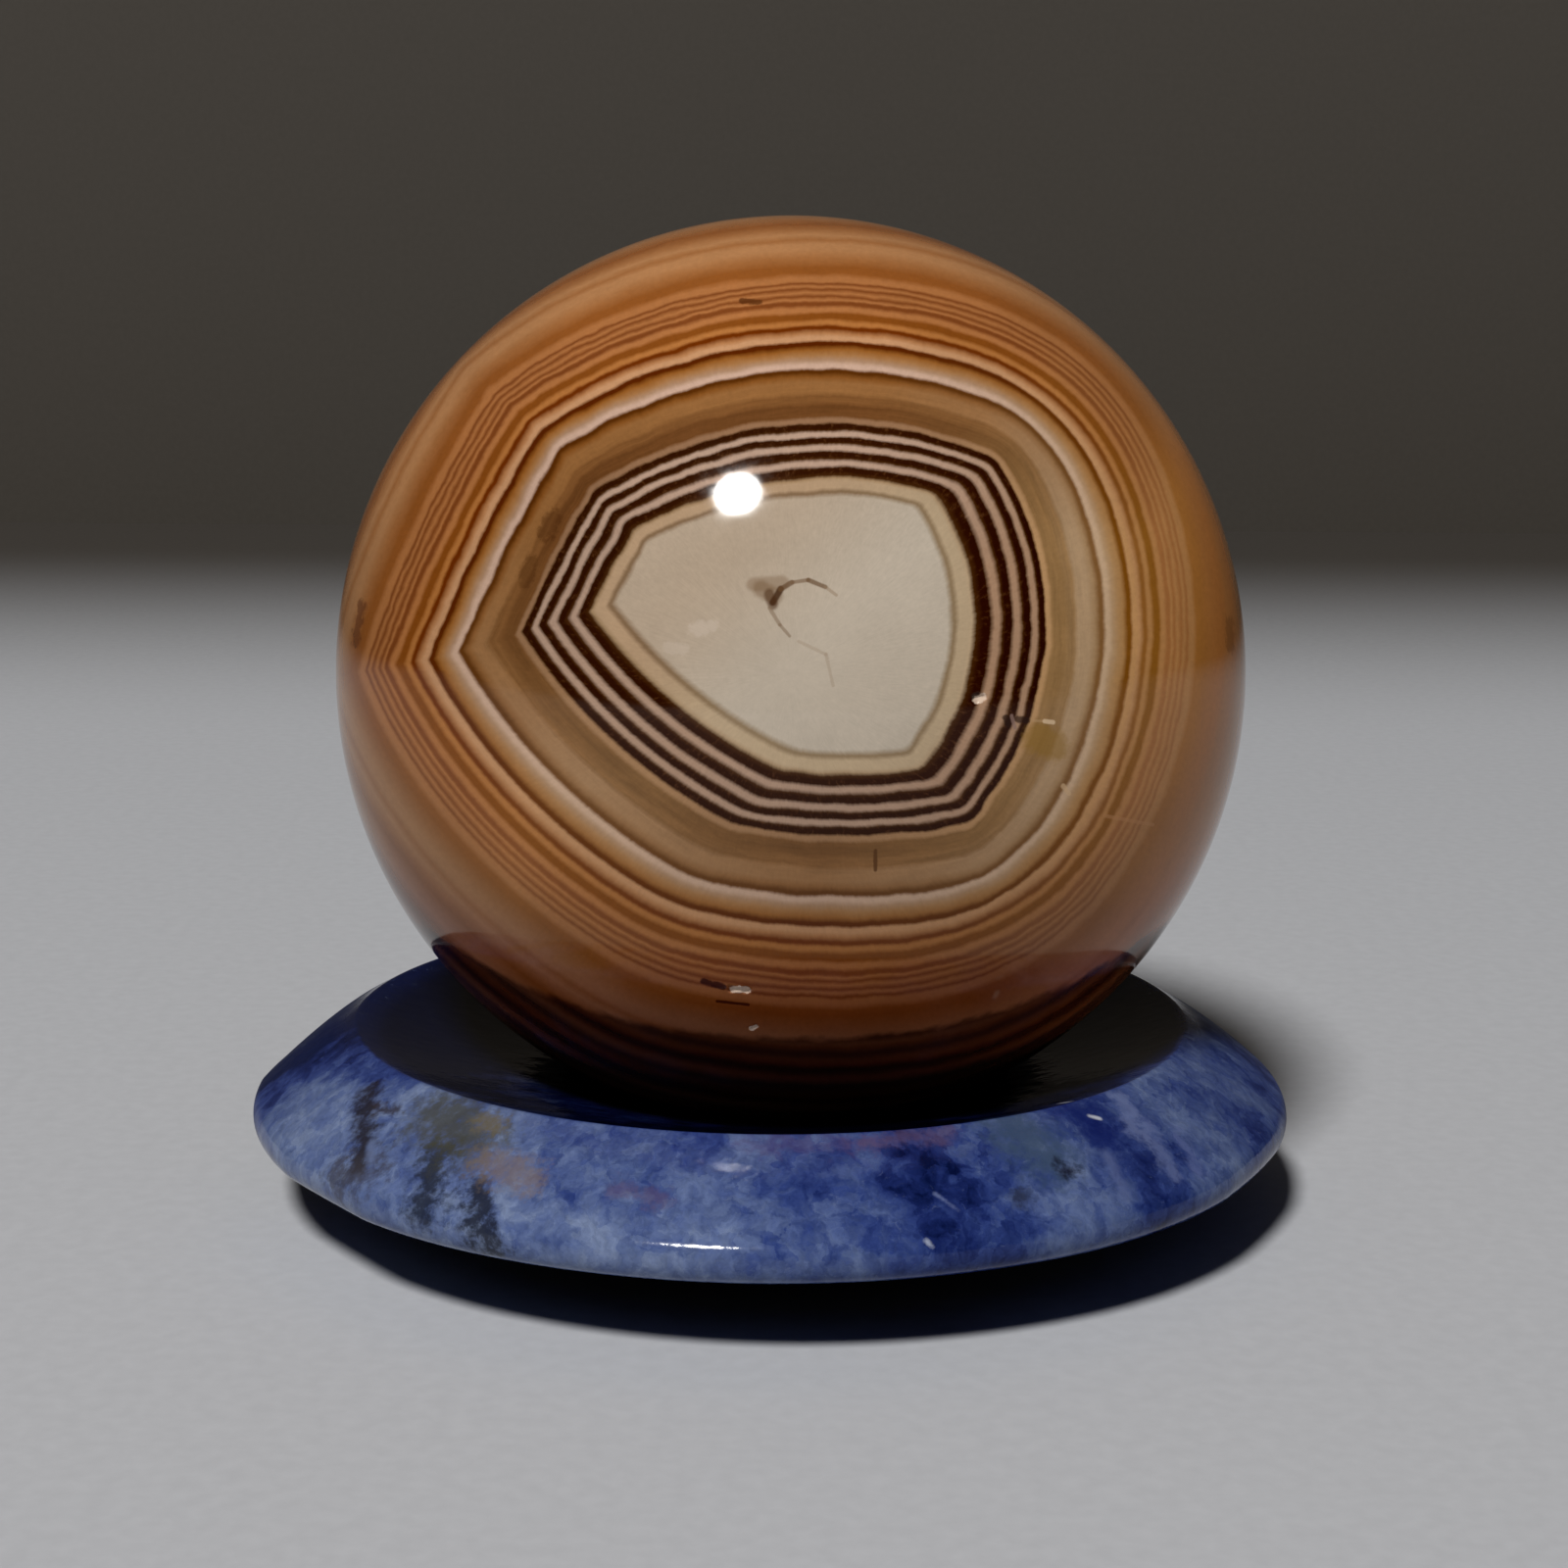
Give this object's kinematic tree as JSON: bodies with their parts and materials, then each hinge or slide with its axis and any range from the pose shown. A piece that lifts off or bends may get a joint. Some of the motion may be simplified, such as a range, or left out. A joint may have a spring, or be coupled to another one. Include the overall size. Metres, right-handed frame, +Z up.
{
  "type": "agate sphere",
  "caption": "Polished banded agate sphere resting in a low round stone ring stand with a sloping bowl and a hole under the ball.",
  "frame": {"origin": "below the middle of the ring's round outer edge, level with its flat foot", "axes": "+Z up through the middle of the ring's outer edge; the eye of the banding faces -Y, towards the viewer; +X to the viewer's right, the side to which the ball sits 0.65 mm off the middle"},
  "size_m": [0.04, 0.04, 0.0373],
  "materials": {
    "agate": "polished stone, banded brown, cream and orange",
    "sodalite": "polished stone, mottled blue"
  },
  "bodies": {
    "root": {"agate_ball": "agate", "stone_ring": "sodalite"}
  },
  "joints": []
}
